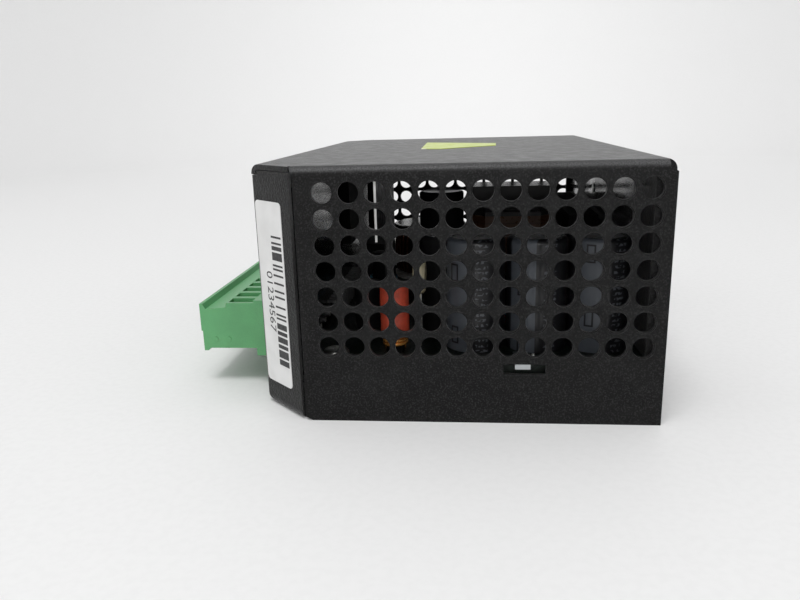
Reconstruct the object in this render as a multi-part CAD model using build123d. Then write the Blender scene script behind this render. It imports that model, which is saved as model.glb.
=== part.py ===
from build123d import *
import math
import os

# A DIN rail power supply, modelled lying on one broad side. All sizes in millimetres.
# +X points to the rail, -X is the front panel with the terminals, +-Y are the vented ends,
# -Z is the resting side.

# Case
case_width = 50.7  # along Z
case_height = 124.0  # along Y, vented end to vented end
case_depth = 80.15  # along X, front panel to the back edge
corner_leg = 9.8  # leg of the 45 degree corners beside the front panel
sheet = 1.0
bend = 1.9  # outside radius of a bend
flange_gap = 0.75  # seam between the chamfer and the vented end
relief = 1.4  # length of the relief cuts at the back ends of the bends
base_height = case_width - sheet - 0.2  # top edge of the base walls, just under the cover
plug_out = 17.8  # how far the plugs stand out of the front panel
foot_out = 7.25  # how far the rail foot stands out past the back edge

# Main positions
front_x = -(plug_out + case_depth + foot_out) / 2 + plug_out
back_x = front_x + case_depth
seam_x = front_x + corner_leg
lip_x = back_x + 0.2  # outer face of the cover's back lip
wall_x = lip_x - sheet - 0.1  # outer face of the back wall
end_y = case_height / 2
corner_y = end_y - corner_leg

# Vents
hole_pitch = 5.0
hole_columns = 13
hole_rows = 7
hole_d = 4.0
last_column_x = back_x - 4.2
lowest_row_z = 15.7
slot_x = 19.2
slot_z = 11.2
slot_size = (8.1, 2.15)

label_t = 0.12

# Boards
board_t = 1.6
board_top = 11.2
board_x = (front_x + 9.2, wall_x - 1.3)
board_half_y = end_y - 2.6
front_board_x = front_x + 7.0
front_board_half_y = 50.0
front_board_z = (5.1, 45.6)
standoff_places = [
    (front_x + 16.0, -55.5),
    (front_x + 16.0, 55.5),
    (back_x - 8.0, -33.5),
    (back_x - 8.0, 55.5),
]

# Terminals
pole_pitch = 5.08
output_poles = 10
output_y = -42.0
input_poles = 4
input_y = 21.5
plug_top = 19.2
plug_bottom = 8.5
header_z = (7.3, 20.2)
header_out = 4.6  # how far a header stands out of the front panel
header_end = 1.6  # how far a header goes on past its end poles
nose_length = 9.2  # the plug's nose, inside its header
nose_z = (8.8, 18.4)
nose_inset = 0.6  # from the plug's ends
socket_gap = 0.25  # around the nose
contact_z = 13.1
header_pin = 1.0

# Rail foot, for a 35 mm rail
foot_t = 5.0
foot_half_width = 15.5
foot_y = (-25.0, 24.0)
rail_gap = 1.4
hook_t = foot_out + (back_x - wall_x) - foot_t - rail_gap
rail_x = wall_x + foot_t
nose_x = rail_x + rail_gap
foot_out_x = nose_x + hook_t
hook_floor_y = -18.0
hook_tip_y = -14.6
latch_tip_y = 14.4
latch_face_y = 17.3
latch_mid_z = case_width / 2
foot_screw_places = [(y, latch_mid_z + z) for y in (-10.0, 13.0) for z in (-12.5, 12.5)]

# Screws that hold the cover's back lip to the base
cover_screw_y = 45.0
cover_screw_z = case_width - 5.0

# Front panel fittings
led_place = (46.3, 30.6)
trimmer_place = (46.3, 38.6)

# Output capacitors
can_d = 12.0
can_h = 22.95
sleeve_t = 0.25
cap_places = [(9.8, -46.0), (22.6, -46.0), (35.3, -46.0)]

# Reservoir capacitor
bulk_d = 20.0
bulk_h = 21.0
bulk_place = (22.0, 42.0)

# Transformer: upright ferrite core, its legs along Z
core_centre = (19.5, -2.0)
core_width = 20.5
core_depth = 12.0
core_outer_leg = 3.2
core_middle_leg = 6.1
core_bar = 6.0
core_z = (board_top + 0.9, board_top + 29.7)
bobbin_wall = 0.8
winding_t = 3.3
tape_t = 0.2

# Rod choke in a sleeve
choke_place = (-6.9, -51.0)
choke_core_r = 1.95
choke_wire = 0.8
choke_turn_z = (board_top + 1.1, board_top + 14.0)
choke_sleeve_z = (board_top + 4.7, board_top + 14.5)

# Mains choke: two windings on a flat ring core
ring_place = (-3.5, 24.0)
ring_r = (5.0, 10.0)
ring_z = (board_top + 2.0, board_top + 14.0)
ring_winding_t = 0.9

# Heat sink
sink_x = (wall_x - 4.6, wall_x - 2.6)
sink_y = (-30.0, 44.0)
sink_z = (board_top, 33.6)
transistor_tab = 1.3
transistor_places = [(-12.0, 22.6), (9.0, 22.6), (30.0, 22.6)]


def box(x, y, z):
    """A block from its low and high limits along each axis."""
    size = (x[1] - x[0], y[1] - y[0], z[1] - z[0])
    centre = ((x[0] + x[1]) / 2, (y[0] + y[1]) / 2, (z[0] + z[1]) / 2)
    return Pos(*centre) * Box(*size)


def rod(radius, low, high, axis="z"):
    """A cylinder from point low to its end value along one axis."""
    start = Vector(*low)
    length = high - {"x": start.X, "y": start.Y, "z": start.Z}[axis]
    turn = {"x": Rot(0, 90, 0), "y": Rot(-90, 0, 0), "z": Rot(0, 0, 0)}[axis]
    body = Cylinder(radius, abs(length), align=(Align.CENTER, Align.CENTER, Align.MIN))
    if length < 0:
        body = Pos(0, 0, length) * body
    return Pos(start) * turn * body


def mirror_y(shape):
    return mirror(shape, about=Plane.XZ)


def group(shapes):
    """Separate solids kept together as one node."""
    return Compound(children=[solid for shape in shapes for solid in shape.solids()])


def rectangle(x, y):
    """A rectangle from its low and high limits along both axes of a sketch."""
    return Pos((x[0] + x[1]) / 2, (y[0] + y[1]) / 2) * Rectangle(x[1] - x[0], y[1] - y[0])


def rounded_u(half_y, height, radius):
    """An upside-down tray outline in the YZ plane: flat bottom, two rounded upper corners."""
    outline = Pos(0, height / 2) * Rectangle(2 * half_y, height)
    return fillet(outline.vertices().group_by(Axis.Y)[-1], radius)


def vent_holes():
    """The hole pattern and the slot, running through both vented ends."""
    first_x = last_column_x - (hole_columns - 1) * hole_pitch
    pattern = Sketch()
    for column in range(hole_columns):
        for row in range(hole_rows):
            place = (first_x + column * hole_pitch, lowest_row_z + row * hole_pitch)
            pattern += Pos(*place) * Circle(hole_d / 2)
    pattern += Pos(slot_x, slot_z) * Rectangle(*slot_size)
    return extrude(Plane.XZ * pattern, end_y + 1, both=True)


def cover():
    """Upper panel, both vented ends, the curled front edge and the back lip, bent from one sheet."""
    start = seam_x + 0.05
    profile = rounded_u(end_y, case_width, bend) - rounded_u(end_y - sheet, case_width - sheet, bend - sheet)
    shell = extrude(Plane.YZ.offset(start) * profile, back_x - start)
    shell -= seam_cut(start)
    shell -= relief_cut()
    shell += front_panel_edge(start)
    shell += back_lip()
    shell -= vent_holes()
    for y in (-cover_screw_y, cover_screw_y):
        shell -= rod(1.6, (back_x - 4, y, cover_screw_z), back_x + 1, "x")
    return shell


def seam_cut(start):
    """Opens the seam, slanting across the bend above, and takes the lower corner off each vented end."""
    edge = seam_x + flange_gap
    corner = 1.3
    outline = Polyline(
        (seam_x - 1, -1),
        (edge + corner, -1),
        (edge + corner, 0),
        (edge, corner / 2),
        (edge, case_width - bend),
        (start, case_width),
        (seam_x - 1, case_width),
        close=True,
    )
    return extrude(Plane.XZ * make_face(outline), end_y + 1, both=True)


def relief_cut():
    """Frees the back lip from the vented ends, whose upper back corners slant down."""
    low = case_width - relief
    outline = Polyline(
        (back_x - relief, case_width + 1),
        (back_x - relief, low),
        (back_x + 1, low - relief / 2 - 0.5),
        (back_x + 1, case_width + 1),
        close=True,
    )
    return extrude(Plane.XZ * make_face(outline), end_y + 1, both=True)


def front_panel_edge(start):
    """Front part of the upper panel: corners cut at 45 degrees, front edge curled down."""
    back = start + 3
    curl_z = case_width - bend - 0.1
    outer = rectangle((front_x, back), (curl_z, case_width))
    outer = fillet(outer.vertices().group_by(Axis.X)[0].sort_by(Axis.Y)[-1:], bend)
    inner = rectangle((front_x + sheet, back + 1), (curl_z - 1, case_width - sheet))
    inner = fillet(inner.vertices().group_by(Axis.X)[0].sort_by(Axis.Y)[-1:], bend - sheet)
    panel = extrude(Plane.XZ * (outer - inner), end_y, both=True)
    beside = Polyline(
        (front_x - 1, -corner_y + 1),
        (front_x - 1, -end_y - 1),
        (back + 1, -end_y - 1),
        (back + 1, bend - end_y),
        (start, bend - end_y),
        (start, -end_y),
        (seam_x, -end_y),
        close=True,
    )
    corner = extrude(Plane.XY.offset(curl_z - 1) * make_face(beside), bend + 2)
    return panel - corner - mirror_y(corner)


def back_lip():
    """The short flange bent down over the top of the back wall."""
    lip_h = 9.0
    block_x = (back_x - relief - 0.6, lip_x)
    outer = rectangle(block_x, (case_width - lip_h, case_width))
    outer = fillet(outer.vertices().group_by(Axis.Y)[-1].sort_by(Axis.X)[-1:], bend)
    inner = rectangle((block_x[0] - 1, block_x[1] - sheet), (case_width - lip_h - 1, case_width - sheet))
    inner = fillet(inner.vertices().group_by(Axis.Y)[-1].sort_by(Axis.X)[-1:], bend - sheet)
    return extrude(Plane.XZ * (outer - inner), end_y - bend, both=True)


def tray_outline(inset):
    """The base seen from above: chamfered front corners, back wall set inside the cover."""
    side_y = end_y - sheet - 0.3
    front_point = (front_x + inset, -corner_y + inset * (math.sqrt(2) - 1))
    wall_point = (wall_x - inset, -side_y + inset)
    if inset:
        meeting_x = seam_x - end_y + inset * math.sqrt(2) + side_y - inset
        half = [front_point, (meeting_x, -side_y + inset), wall_point]
    else:
        half = [front_point, (seam_x, -end_y), (seam_x, -side_y), wall_point]
    other_half = [(x, -y) for x, y in reversed(half)]
    return make_face(Polyline(*half, *other_half, close=True))


def tray_block(inset, floor, top, corner_r, floor_r):
    block = extrude(Plane.XY.offset(floor) * tray_outline(inset), top - floor)
    uprights = block.edges().filter_by(Axis.Z).group_by(Axis.X)[0]
    block = fillet(uprights, corner_r)
    lowest = block.edges().group_by(Axis.Z)[0]
    return fillet(lowest.filter_by(lambda e: e.center().X < seam_x - corner_leg / 4), floor_r)


def base_tray():
    """Resting panel, front panel, chamfers and back wall, with low flanges along the vented ends."""
    tray = tray_block(0, 0, base_height, 1.5, bend)
    tray -= tray_block(sheet, sheet, base_height + 1, 0.5, bend - sheet)
    flange_top = 8.0
    for side in (-1, 1):
        reach = sorted((side * (end_y - 3.2), side * (end_y + 1)))
        tray -= box((seam_x, wall_x - sheet - 1.5), reach, (flange_top, base_height + 1))
    tray -= box((seam_x, wall_x + 1), (-end_y, end_y), (base_height - 1.0, base_height + 1))
    tray -= box((front_x - 1, front_x + bend - 0.4), (-end_y, end_y), (case_width - bend - 0.3, case_width))
    for y, poles in ((output_y, output_poles), (input_y, input_poles)):
        header_y = header_reach(y, poles)
        opening_y = (header_y[0] - 0.3, header_y[1] + 0.3)
        tray -= box((front_x - 1, front_x + 4), opening_y, (header_z[0] - 0.3, header_z[1] + 0.3))
    tray -= rod(1.6, (front_x - 1, *led_place), front_x + 3, "x")
    tray -= rod(2.2, (front_x - 1, *trimmer_place), front_x + 3, "x")
    for y in (-cover_screw_y, cover_screw_y):
        tray -= rod(1.25, (wall_x - 4, y, cover_screw_z), wall_x + 1, "x")
    for y, z in foot_screw_places:
        tray -= rod(1.25, (wall_x - 4, y, z), wall_x + 1, "x")
    return tray


def header_reach(y, poles):
    """Where a header of some poles starts and ends along Y."""
    return (y - header_end, y + poles * pole_pitch + header_end)


def pole_places(y, poles):
    return [y + (pole + 0.5) * pole_pitch for pole in range(poles)]


def along_y(face, low, high):
    """Extrudes a face drawn in X and Z between two places along Y."""
    return extrude(Plane.XZ.offset(-low) * face, low - high)


def plug_housing(y, poles):
    """Plug body: ridge and ledge along the outer top edge, tool pockets, wire entries, nose."""
    outer_x = front_x - plug_out
    mouth_x = front_x - header_out
    low_x = outer_x + 0.3
    step_z = contact_z - 0.5
    foot_z = plug_bottom - 0.6
    length = poles * pole_pitch
    outline = Polyline(
        (low_x, foot_z),
        (low_x + 1.0, foot_z),
        (low_x + 1.4, plug_bottom),
        (mouth_x - 0.15, plug_bottom),
        (mouth_x - 0.15, plug_top),
        (outer_x + 6.3, plug_top),
        (outer_x + 6.1, plug_top - 1.05),
        (outer_x + 1.35, plug_top - 1.45),
        (outer_x + 0.75, plug_top - 0.25),
        (outer_x, plug_top - 0.2),
        (outer_x, step_z),
        (low_x, step_z),
        close=True,
    )
    body = along_y(make_face(outline), y, y + length)
    body += box((mouth_x - 1, mouth_x + nose_length), (y + nose_inset, y + length - nose_inset), nose_z)
    for pole_y in pole_places(y, poles):
        entry_z = (contact_z - 2.1, contact_z + 1.9)
        body -= box((outer_x - 1, mouth_x + nose_length + 1), (pole_y - 1.8, pole_y + 1.8), entry_z)
        pocket_z = (contact_z + 3.8, plug_top + 1)
        body -= box((outer_x + 6.7, mouth_x - 0.7), (pole_y - 1.7, pole_y + 1.7), pocket_z)
        release_z = (contact_z + 2.7, contact_z + 3.8)
        body -= box((outer_x - 1, outer_x + 3), (pole_y - 1.3, pole_y + 1.3), release_z)
    for mark_x in (outer_x + 3.2, outer_x + 6.3):
        body += rod(0.6, (mark_x, y + 0.5, plug_bottom + 2.2), y - 0.15, "y")
    return body


def plug_contacts(y, poles):
    """One current bar per pole with a socket for the header's pin."""
    mouth_x = front_x - header_out
    low = contact_z - 1.5
    bars = []
    for pole_y in pole_places(y, poles):
        across = (pole_y - 1.4, pole_y + 1.4)
        bar = box((mouth_x + 0.6, mouth_x + nose_length - 0.3), across, (low, low + 2.9))
        bar += box((front_x - plug_out + 4.5, mouth_x + 1), across, (low, low + 0.6))
        socket_z = (contact_z - 0.7, contact_z + 0.7)
        bar -= box((mouth_x + 1.6, mouth_x + nose_length), (pole_y - 0.7, pole_y + 0.7), socket_z)
        bars.append(bar)
    return group(bars)


def plug_springs(y, poles):
    """One bent strip spring per pole, which presses the wire onto the current bar."""
    start_x = front_x - plug_out + 5.6
    outline = Polyline(
        (start_x, contact_z + 1.8),
        (start_x + 6.0, contact_z + 1.8),
        (start_x + 6.0, contact_z + 1.4),
        (start_x + 0.9, contact_z + 1.4),
        (start_x + 0.4, contact_z + 1.0),
        (start_x + 3.9, contact_z - 0.5),
        (start_x + 3.6, contact_z - 0.8),
        (start_x - 0.2, contact_z + 0.8),
        (start_x - 0.2, contact_z + 1.4),
        close=True,
    )
    strips = [along_y(make_face(outline), pole_y - 1.3, pole_y + 1.3) for pole_y in pole_places(y, poles)]
    return group(strips)


def header_housing(y, poles):
    """Open socket behind the front panel that the plug's nose goes into."""
    mouth_x = front_x - header_out
    length = poles * pole_pitch
    inset = nose_inset - socket_gap
    socket_z = (nose_z[0] - socket_gap, nose_z[1] + socket_gap)
    body = box((mouth_x, front_board_x), header_reach(y, poles), header_z)
    body -= box((mouth_x - 1, mouth_x + nose_length + 0.4), (y + inset, y + length - inset), socket_z)
    for pole_y in pole_places(y, poles):
        body -= square_pin(pole_y, (mouth_x + 5, front_board_x + 1))
    return body


def square_pin(pole_y, x):
    half = header_pin / 2
    return box(x, (pole_y - half, pole_y + half), (contact_z - half, contact_z + half))


def header_pins():
    """The square pins of both headers, which run through the front board."""
    reach = (front_x - header_out + 3.2, front_board_x + board_t + 1.2)
    places = pole_places(output_y, output_poles) + pole_places(input_y, input_poles)
    return group([square_pin(y, reach) for y in places])


def front_board():
    board_y = (-front_board_half_y, front_board_half_y)
    board = box((front_board_x, front_board_x + board_t), board_y, front_board_z)
    for y, poles in ((output_y, output_poles), (input_y, input_poles)):
        for pole_y in pole_places(y, poles):
            board -= rod(0.75, (front_board_x - 1, pole_y, contact_z), front_board_x + 3, "x")
    return board


def board_link_pins():
    """A row of right-angle pins that joins the front board to the main board."""
    pins = []
    arm_z = (board_top + 3.8, board_top + 4.44)
    for y in [-26.0 + 2.54 * step for step in range(16)]:
        pin = box((front_board_x + board_t, board_x[0] + 2.6), (y - 0.32, y + 0.32), arm_z)
        pin += box((board_x[0] + 1.96, board_x[0] + 2.6), (y - 0.32, y + 0.32), (board_top, arm_z[1]))
        pins.append(pin)
    return group(pins)


def main_board():
    board = box(board_x, (-board_half_y, board_half_y), (board_top - board_t, board_top))
    for x, y in standoff_places:
        board -= rod(1.7, (x, y, board_top - 3), board_top + 1)
    return board


def board_standoffs():
    posts = []
    for x, y in standoff_places:
        post = rod(2.8, (x, y, sheet), board_top - board_t)
        post -= rod(1.25, (x, y, sheet + 1), board_top)
        posts.append(post)
    return group(posts)


def pan_screw(x, y, z, length, axis, thread_r=1.2, head_r=2.75, head_h=2.0):
    """A pan head screw whose head sits at the given point and points along -axis into the hole."""
    low = {"x": x, "z": z}[axis]
    body = rod(thread_r, (x, y, z), low - length, axis)
    head = rod(head_r, (x, y, z), low + head_h, axis)
    rims = head.edges().filter_by(GeomType.CIRCLE)
    body += fillet(rims.sort_by(Axis.X if axis == "x" else Axis.Z)[-1:], 0.9)
    cross_from = low + head_h - 1.1
    for turn in (0, 90):
        blade = Rot(turn, 0, 0) * Box(2.4, 3.0, 0.6) if axis == "x" else Rot(0, 0, turn) * Box(3.0, 0.6, 2.4)
        centre = {"x": (cross_from + 1.2, y, z), "z": (x, y, cross_from + 1.2)}[axis]
        body -= Pos(*centre) * blade
    return body


def turned_screw(x, y, z, length):
    """The same screw with its head towards -X."""
    return Pos(x, y, z) * Rot(0, 0, 180) * pan_screw(0, 0, 0, length, "x")


def pan_head_screws():
    """The board's, the cover's and the power transistors' M3 pan head screws."""
    screws = [pan_screw(x, y, board_top, 7.0, "z") for x, y in standoff_places]
    screws += [pan_screw(lip_x, y, cover_screw_z, 3.2, "x") for y in (-cover_screw_y, cover_screw_y)]
    for y, z in transistor_places:
        screws.append(turned_screw(sink_x[0] - transistor_tab, y, z + 6.3, transistor_tab - 0.05))
    return group(screws)


def insulating_sheet():
    film = box((seam_x + 1, wall_x - 2), (-end_y + 4, end_y - 4), (sheet, sheet + 0.4))
    for x, y in standoff_places:
        film -= rod(3.1, (x, y, 0), sheet + 2)
    return film


def earth_tabs():
    """Tinned strips on the board whose ends show in the slots of both vented ends."""
    tab = box((slot_x - 1.85, slot_x + 1.1), (-end_y + 0.15, -end_y + 8), (board_top, board_top + 1.0))
    return group([tab, mirror_y(tab)])


def led():
    y, z = led_place
    body = rod(1.5, (front_board_x, y, z), front_x + 3.6, "x")
    body += Pos(front_x + 3.6, y, z) * Sphere(1.5)
    body += rod(1.9, (front_board_x, y, z), front_board_x - 1.0, "x")
    return body


def light_pipe():
    y, z = led_place
    pipe = rod(1.5, (front_x + 2.0, y, z), front_x - 0.6, "x")
    pipe += rod(2.4, (front_x + sheet, y, z), front_x + 1.8, "x")
    return pipe


def trimmer_body():
    y, z = trimmer_place
    body = box((front_board_x - 5.0, front_board_x), (y - 4.2, y + 4.2), (z - 4.2, z + 4.2))
    return body - rod(1.55, (front_board_x - 6, y, z), front_board_x - 2.5, "x")


def trimmer_rotor():
    y, z = trimmer_place
    rotor = rod(1.5, (front_board_x - 2.6, y, z), front_x + 0.4, "x")
    for size in ((1.6, 2.4, 0.5), (1.6, 0.5, 2.4)):
        rotor -= Pos(front_x + 0.4, y, z) * Box(*size)
    return rotor


def output_can(x, y):
    """Aluminium can with its rolled groove near the foot and a scored top."""
    top = board_top + 0.3 + can_h
    can = rod(can_d / 2, (x, y, board_top + 0.3), top)
    can = fillet(can.edges().filter_by(GeomType.CIRCLE).sort_by(Axis.Z)[-1:], 0.8)
    groove = Pos(x, y, board_top + 3.0) * Torus(can_d / 2 + 0.1, 0.5)
    can -= groove
    for turn in (45, 135):
        can -= Pos(x, y, top) * Rot(0, 0, turn) * Box(can_d * 0.7, 0.35, 0.3)
    return can


def output_sleeve(x, y):
    """Shrunk sleeve around a can, with its end curled over the top's rim."""
    radius = can_d / 2 + sleeve_t
    top = board_top + 0.3 + can_h
    sleeve = rod(radius, (x, y, board_top), top + sleeve_t)
    sleeve = fillet(sleeve.edges().filter_by(GeomType.CIRCLE).sort_by(Axis.Z)[-1:], 1.0)
    core = rod(can_d / 2, (x, y, board_top - 1), top)
    core = fillet(core.edges().filter_by(GeomType.CIRCLE).sort_by(Axis.Z)[-1:], 0.8)
    sleeve -= core
    return sleeve - rod(can_d / 2 - 1.2, (x, y, top - 2), top + 2)


def bulk_can():
    x, y = bulk_place
    can = rod(bulk_d / 2 - sleeve_t, (x, y, board_top + 0.3), board_top + bulk_h)
    return fillet(can.edges().filter_by(GeomType.CIRCLE).sort_by(Axis.Z)[-1:], 1.0)


def bulk_sleeve():
    x, y = bulk_place
    top = board_top + bulk_h
    sleeve = rod(bulk_d / 2, (x, y, board_top), top - 1.0)
    return sleeve - rod(bulk_d / 2 - sleeve_t, (x, y, board_top - 1), top)


def about_core(x, y, z):
    """A block centred on the transformer, from half widths in X and Y and limits in Z."""
    centre_x, centre_y = core_centre
    return box((centre_x - x, centre_x + x), (centre_y - y, centre_y + y), z)


def transformer_core():
    inner_z = (core_z[0] + core_bar, core_z[1] - core_bar)
    core = about_core(core_width / 2, core_depth / 2, core_z)
    window = about_core(core_width / 2 - core_outer_leg, core_depth, inner_z)
    core -= window - about_core(core_middle_leg / 2, core_depth / 2, inner_z)
    split_z = (core_z[0] + core_z[1]) / 2
    return core - about_core(core_width, core_depth, (split_z - 0.03, split_z + 0.03))


def transformer_bobbin():
    """Former around the middle leg, its two flanges and the pin blocks that stand on the board."""
    inner_z = (core_z[0] + core_bar, core_z[1] - core_bar)
    half_x = core_width / 2 - core_outer_leg - 0.15
    half_y = core_depth / 2 + bobbin_wall + winding_t + 1.0
    former = about_core(core_middle_leg / 2 + bobbin_wall, core_depth / 2 + bobbin_wall, inner_z)
    former += about_core(half_x, half_y, (inner_z[0], inner_z[0] + 1))
    former += about_core(half_x, half_y, (inner_z[1] - 1, inner_z[1]))
    former -= about_core(core_middle_leg / 2 + 0.05, core_depth / 2 + 0.05, core_z)
    centre_x, centre_y = core_centre
    for side in (-1, 1):
        reach = sorted((centre_y + side * (core_depth / 2 + 0.1), centre_y + side * (half_y + 1)))
        former += box((centre_x - half_x, centre_x + half_x), reach, (board_top, inner_z[0] + 1))
    return former


def wound_ring(thickness, start, z):
    """A ring around the bobbin's former, from its inner offset and thickness."""
    inner = (core_middle_leg / 2 + bobbin_wall + start, core_depth / 2 + bobbin_wall + start)
    ring = about_core(inner[0] + thickness, inner[1] + thickness, z)
    ring = fillet(ring.edges().filter_by(Axis.Z), 1.5)
    return ring - about_core(*inner, z)


def transformer_winding():
    z = (core_z[0] + core_bar + 1.2, core_z[1] - core_bar - 1.2)
    return wound_ring(winding_t - tape_t - 0.3, 0, z)


def transformer_tape():
    z = (core_z[0] + core_bar + 1.05, core_z[1] - core_bar - 1.05)
    tape = wound_ring(winding_t - 0.3, 0, z)
    hole = wound_ring(winding_t - tape_t - 0.3, 0, (z[0] - 1, z[1] + 1))
    former = about_core(core_middle_leg / 2 + bobbin_wall, core_depth / 2 + bobbin_wall, (z[0] - 1, z[1] + 1))
    return tape - hole - former


def choke_core():
    x, y = choke_place
    return rod(choke_core_r, (x, y, board_top), choke_sleeve_z[1] - 0.5)


def choke_winding():
    """Close turns of thick wire, drawn as one body of stacked rings."""
    x, y = choke_place
    low, high = choke_turn_z
    centre_r = choke_core_r + choke_wire / 2
    turns = int((high - low) / choke_wire)
    middle = (low + high) / 2
    profile = Pos(choke_core_r + choke_wire * 0.3, middle) * Rectangle(choke_wire * 0.6, turns * choke_wire)
    for turn in range(turns):
        turn_z = middle + (turn + 0.5 - turns / 2) * choke_wire
        profile += Pos(centre_r, turn_z) * Circle(choke_wire / 2)
    profile -= Pos(choke_core_r / 2, middle) * Rectangle(choke_core_r, 2 * high)
    return Pos(x, y, 0) * revolve(Plane.XZ * profile, Axis.Z)


def choke_sleeve():
    x, y = choke_place
    radius = choke_core_r + choke_wire
    sleeve = rod(radius + 0.25, (x, y, choke_sleeve_z[0]), choke_sleeve_z[1])
    sleeve = fillet(sleeve.edges().filter_by(GeomType.CIRCLE).sort_by(Axis.Z)[-1:], 0.5)
    return sleeve - rod(radius + 0.01, (x, y, choke_sleeve_z[0] - 1), choke_sleeve_z[1] - 0.3)


def ring_block(grow, z):
    x, y = ring_place
    return rod(ring_r[1] + grow, (x, y, z[0]), z[1]) - rod(ring_r[0] - grow, (x, y, z[0] - 1), z[1] + 1)


def mains_choke_core():
    return fillet(ring_block(0, ring_z).edges().filter_by(GeomType.CIRCLE), 0.8)


def mains_choke_windings():
    """The two windings, each a thick shell over part of the ring."""
    grown_z = (ring_z[0] - ring_winding_t, ring_z[1] + ring_winding_t)
    shell = fillet(ring_block(ring_winding_t, grown_z).edges().filter_by(GeomType.CIRCLE), 1.4)
    shell -= ring_block(0.02, (ring_z[0] - 0.02, ring_z[1] + 0.02))
    x, y = ring_place
    return shell - Pos(x, y, ring_z[0]) * Box(6.0, 40.0, 60.0)


def mains_choke_base():
    x, y = ring_place
    base = rod(ring_r[1] + 1.2, (x, y, board_top), board_top + 0.9)
    return base + box((x - 0.9, x + 0.9), (y - ring_r[1] - 1.0, y + ring_r[1] + 1.0), (board_top, ring_z[0]))


def disc_part(x, y, z, radius, thickness, leg_y):
    """An upright dipped disc seen edge-on along Y, on two leads."""
    disc = rod(radius, (x - thickness / 2, y, z), x + thickness / 2, "x")
    disc = fillet(disc.edges().filter_by(GeomType.CIRCLE), thickness * 0.42)
    for side in (-1, 1):
        disc += rod(0.35, (x, y + side * leg_y, board_top), z - radius * 0.5)
    return disc


def box_capacitor():
    body = box((-23.5, -15.5), (14.0, 32.0), (board_top, board_top + 11.0))
    return fillet(body.edges().filter_by(Axis.Z), 0.6)


def small_capacitor(x, y, radius, height):
    can = rod(radius, (x, y, board_top), board_top + height)
    return fillet(can.edges().filter_by(GeomType.CIRCLE).sort_by(Axis.Z)[-1:], 0.6)


def small_capacitors():
    """Two low ones near the front board and two taller ones beside the transformer."""
    low = [small_capacitor(x, y, 3.15, 11.0) for x, y in ((-15.0, -33.0), (-15.5, 2.0))]
    return group([*low, small_capacitor(1.25, -34.0, 4.0, 21.9), small_capacitor(1.0, 3.3, 6.05, 27.5)])


def fuse():
    tube = rod(2.5, (-14.2, 33.0, board_top + 4.0), 52.0, "y")
    return fillet(tube.edges().filter_by(GeomType.CIRCLE), 0.3)


def fuse_clips():
    clips = []
    for y in (36.0, 49.0):
        clip = box((-17.4, -11.0), (y - 2, y + 2), (board_top, board_top + 6.0))
        clip -= box((-16.9, -11.5), (y - 3, y + 3), (board_top + 0.5, board_top + 7.0))
        clip += box((-15.0, -13.4), (y - 2, y + 2), (board_top, board_top + 1.45))
        clips.append(clip)
    return group(clips)


def bridge_rectifier():
    body = box((10.0, 13.4), (14.0, 30.0), (board_top + 3.0, board_top + 15.0))
    body = chamfer(body.edges().filter_by(Axis.Z), 0.5)
    for step in range(4):
        y = 16.2 + 3.9 * step
        body += box((11.4, 12.2), (y - 0.5, y + 0.5), (board_top, board_top + 3.5))
    return body


def heat_sink():
    plate = box(sink_x, sink_y, sink_z)
    return fillet(plate.edges().filter_by(Axis.X).group_by(Axis.Z)[-1], 2.0)


def power_transistors():
    """Packages with their tabs flat on the heat sink and three legs down to the board."""
    parts = []
    for y, z in transistor_places:
        part = box((sink_x[0] - transistor_tab, sink_x[0]), (y - 5, y + 5), (z - 6, z + 9))
        part -= rod(1.8, (sink_x[0] - 3, y, z + 6.3), sink_x[0] + 1, "x")
        part += box((sink_x[0] - 4.4, sink_x[0] - transistor_tab), (y - 5, y + 5), (z - 6, z + 3))
        for leg in (-2.54, 0, 2.54):
            across = (y + leg - 0.4, y + leg + 0.4)
            part += box((sink_x[0] - 2.9, sink_x[0] - 2.3), across, (board_top, z - 5.9))
        parts.append(part)
    return group(parts)


def thermal_pad():
    return box((sink_x[1], wall_x - sheet), (-22.0, 36.0), (16.6, 31.6))


def shield_plate():
    """Thin upright screen; its upper half reaches further towards the near vented end."""
    plate_x = (-9.72, -9.27)
    upper = box(plate_x, (-56.5, -24.0), (35.4, 47.6))
    return upper + box(plate_x, (-42.0, -24.0), (board_top, 35.4))


def chips():
    """Controller and two optocouplers, as plain bodies with their rows of legs."""
    half_x = 3.2
    parts = []
    for x, y, half_y, legs in ((-12.0, -12.0, 5.0, 4), (2.0, -18.0, 2.3, 2), (2.0, -27.0, 2.3, 2)):
        body = box((x - half_x, x + half_x), (y - half_y, y + half_y), (board_top + 0.5, board_top + 3.8))
        for leg in range(legs):
            leg_y = y + (leg - (legs - 1) / 2) * 2.54
            for side in (-1, 1):
                reach = sorted((x + side * (half_x - 0.1), x + side * (half_x + 0.5)))
                body += box(reach, (leg_y - 0.4, leg_y + 0.4), (board_top, board_top + 2.2))
        parts.append(body)
    return group(parts)


def resistors():
    """Leaded resistors lying on the board."""
    places = [(-2.0, -9.0, "y"), (2.5, -9.0, "y"), (-20.5, -8.0, "y"), (-16.5, 9.5, "x"), (18.0, -32.0, "x")]
    parts = []
    for x, y, along in places:
        start = (x - 4, y, board_top + 1.6) if along == "x" else (x, y - 4, board_top + 1.6)
        end = {"x": x, "y": y}[along] + 4
        body = rod(1.3, start, end, along)
        body = fillet(body.edges().filter_by(GeomType.CIRCLE), 0.5)
        for side in (-1, 1):
            place = (x + side * 3.4, y) if along == "x" else (x, y + side * 3.4)
            body += rod(0.35, (*place, board_top), board_top + 1.6)
        parts.append(body)
    return group(parts)


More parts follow.
